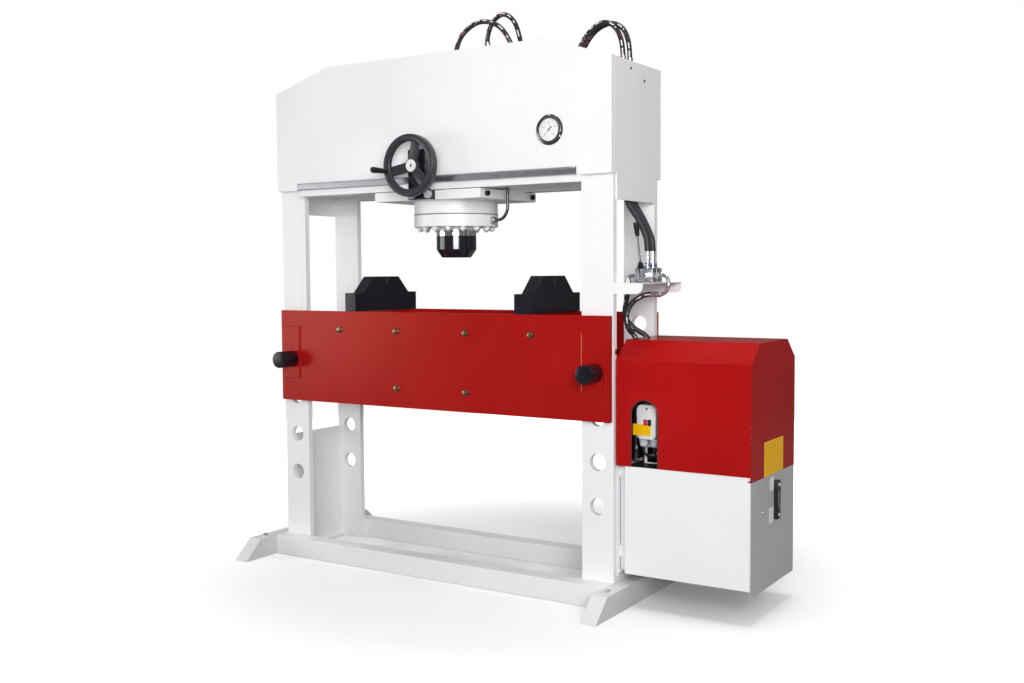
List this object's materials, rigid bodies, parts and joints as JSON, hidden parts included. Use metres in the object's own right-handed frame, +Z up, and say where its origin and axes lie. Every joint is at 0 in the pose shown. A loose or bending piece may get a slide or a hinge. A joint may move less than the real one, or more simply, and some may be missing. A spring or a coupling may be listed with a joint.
{
  "type": "hydraulic workshop press",
  "caption": "Portal hydraulic press with a cylinder that travels along the crown by rack and handwheel, a pinned table, vee blocks and a side power unit.",
  "frame": {"origin": "on the floor, under the middle of the outline of the whole press", "axes": "+X to the right along the crown, +Y from the handwheel's side to the back, +Z up"},
  "size_m": [2.575, 1.03, 2.6247],
  "materials": {
    "white_paint": "gloss",
    "grey_paint": "gloss",
    "red_paint": "gloss",
    "black_paint": "gloss",
    "bare_steel": "satin",
    "bright_steel": "polished",
    "motor_casing": "satin",
    "cast_valve": "satin",
    "hose_rubber": "matte",
    "black_plastic": "gloss",
    "red_plastic": "gloss",
    "starter_plastic": "satin",
    "dial_white": "matte",
    "clear_glass": "clear"
  },
  "bodies": {
    "frame": {"left_skid": "white_paint", "right_skid": "white_paint", "front_sill": "white_paint", "rear_sill": "white_paint", "upright_front_left": "white_paint", "upright_front_right": "white_paint", "upright_rear_left": "white_paint", "upright_rear_right": "white_paint", "side_plates": "white_paint", "crown_front_plate": "white_paint", "crown_rear_plate": "white_paint", "crown_ends": "white_paint", "front_rail": "white_paint", "rear_rail": "white_paint", "valve_shelf": "white_paint", "tank_bracket": "white_paint", "oil_tank": "white_paint", "tank_panel": "grey_paint", "table_front_plate": "red_paint", "table_rear_plate": "red_paint", "table_spacers": "red_paint", "tie_bolts": "red_paint", "pump_cover": "red_paint", "gauge_case": "black_paint", "v_block_left": "black_paint", "v_block_right": "black_paint", "levelling_screws": "bare_steel", "rack": "bare_steel", "valve_fittings": "bright_steel", "motor": "motor_casing", "control_valve": "cast_valve", "pump": "cast_valve", "valve_hoses": "hose_rubber", "top_hose_feed": "hose_rubber", "top_hose_return": "hose_rubber", "level_gauge": "black_plastic", "starter_box": "starter_plastic", "gauge_dial": "dial_white", "gauge_glass": "clear_glass"},
    "carriage": {"carriage_plate": "white_paint", "cylinder_barrel": "white_paint", "gland_ring": "white_paint", "gland_bolts": "bare_steel", "carriage_screws": "black_paint", "wheel_bracket": "black_paint", "return_pipe": "bare_steel", "cylinder_fittings": "bright_steel"},
    "ram": {"ram": "bright_steel", "ram_nose": "black_paint"},
    "handwheel": {"handwheel": "black_paint", "hub_cap": "bright_steel", "pinion_shaft": "bare_steel"},
    "wheel_handle": {"wheel_handle": "black_plastic"},
    "table_pin_left": {"table_pin_left": "black_paint"},
    "table_pin_right": {"table_pin_right": "black_paint"},
    "valve_lever": {"valve_lever": "bright_steel", "lever_grip": "black_plastic"},
    "start_button": {"start_button": "black_plastic"},
    "stop_button": {"stop_button": "red_plastic"},
    "gauge_needle": {"gauge_needle": "dial_white"}
  },
  "joints": [
    {"name": "carriage_slide", "type": "slide", "parent": "frame", "child": "carriage", "axis": [1, 0, 0], "range_m": [-0.32, 0.36], "deforming": ["top_hose_feed", "top_hose_return"]},
    {"name": "ram_slide", "type": "slide", "parent": "carriage", "child": "ram", "axis": [0, 0, -1], "range_m": [0, 0.35]},
    {"name": "handwheel_turn", "type": "hinge", "parent": "carriage", "child": "handwheel", "pos_m": [-0.3175, -0.3, 1.906], "axis": [0, 1, 0], "range_deg": [-384, 432]},
    {"name": "wheel_handle_turn", "type": "hinge", "parent": "handwheel", "child": "wheel_handle", "pos_m": [-0.4406, -0.4, 1.88429], "axis": [0, 1, 0], "continuous": true},
    {"name": "table_pin_left_slide", "type": "slide", "parent": "frame", "child": "table_pin_left", "axis": [0, -1, 0], "range_m": [0, 0.6]},
    {"name": "table_pin_right_slide", "type": "slide", "parent": "frame", "child": "table_pin_right", "axis": [0, -1, 0], "range_m": [0, 0.6]},
    {"name": "valve_lever_tilt", "type": "hinge", "parent": "frame", "child": "valve_lever", "pos_m": [0.7195, -0.068, 1.402], "axis": [1, 0, 0], "range_deg": [-14, 14], "stiffness_Nm_per_rad": 8},
    {"name": "start_button_press", "type": "slide", "parent": "frame", "child": "start_button", "axis": [0, 1, 0], "range_m": [0, 0.004], "stiffness_N_per_m": 400},
    {"name": "stop_button_press", "type": "slide", "parent": "frame", "child": "stop_button", "axis": [0, 1, 0], "range_m": [0, 0.004], "stiffness_N_per_m": 400},
    {"name": "gauge_needle_turn", "type": "hinge", "parent": "frame", "child": "gauge_needle", "pos_m": [0.3675, -0.23, 2.026], "axis": [0, 1, 0], "range_deg": [0, 270], "stiffness_Nm_per_rad": 0.005}
  ],
  "couplings": [
    {"joint": "handwheel_turn", "follows": "carriage_slide", "rad_per_m": 20.833}
  ]
}
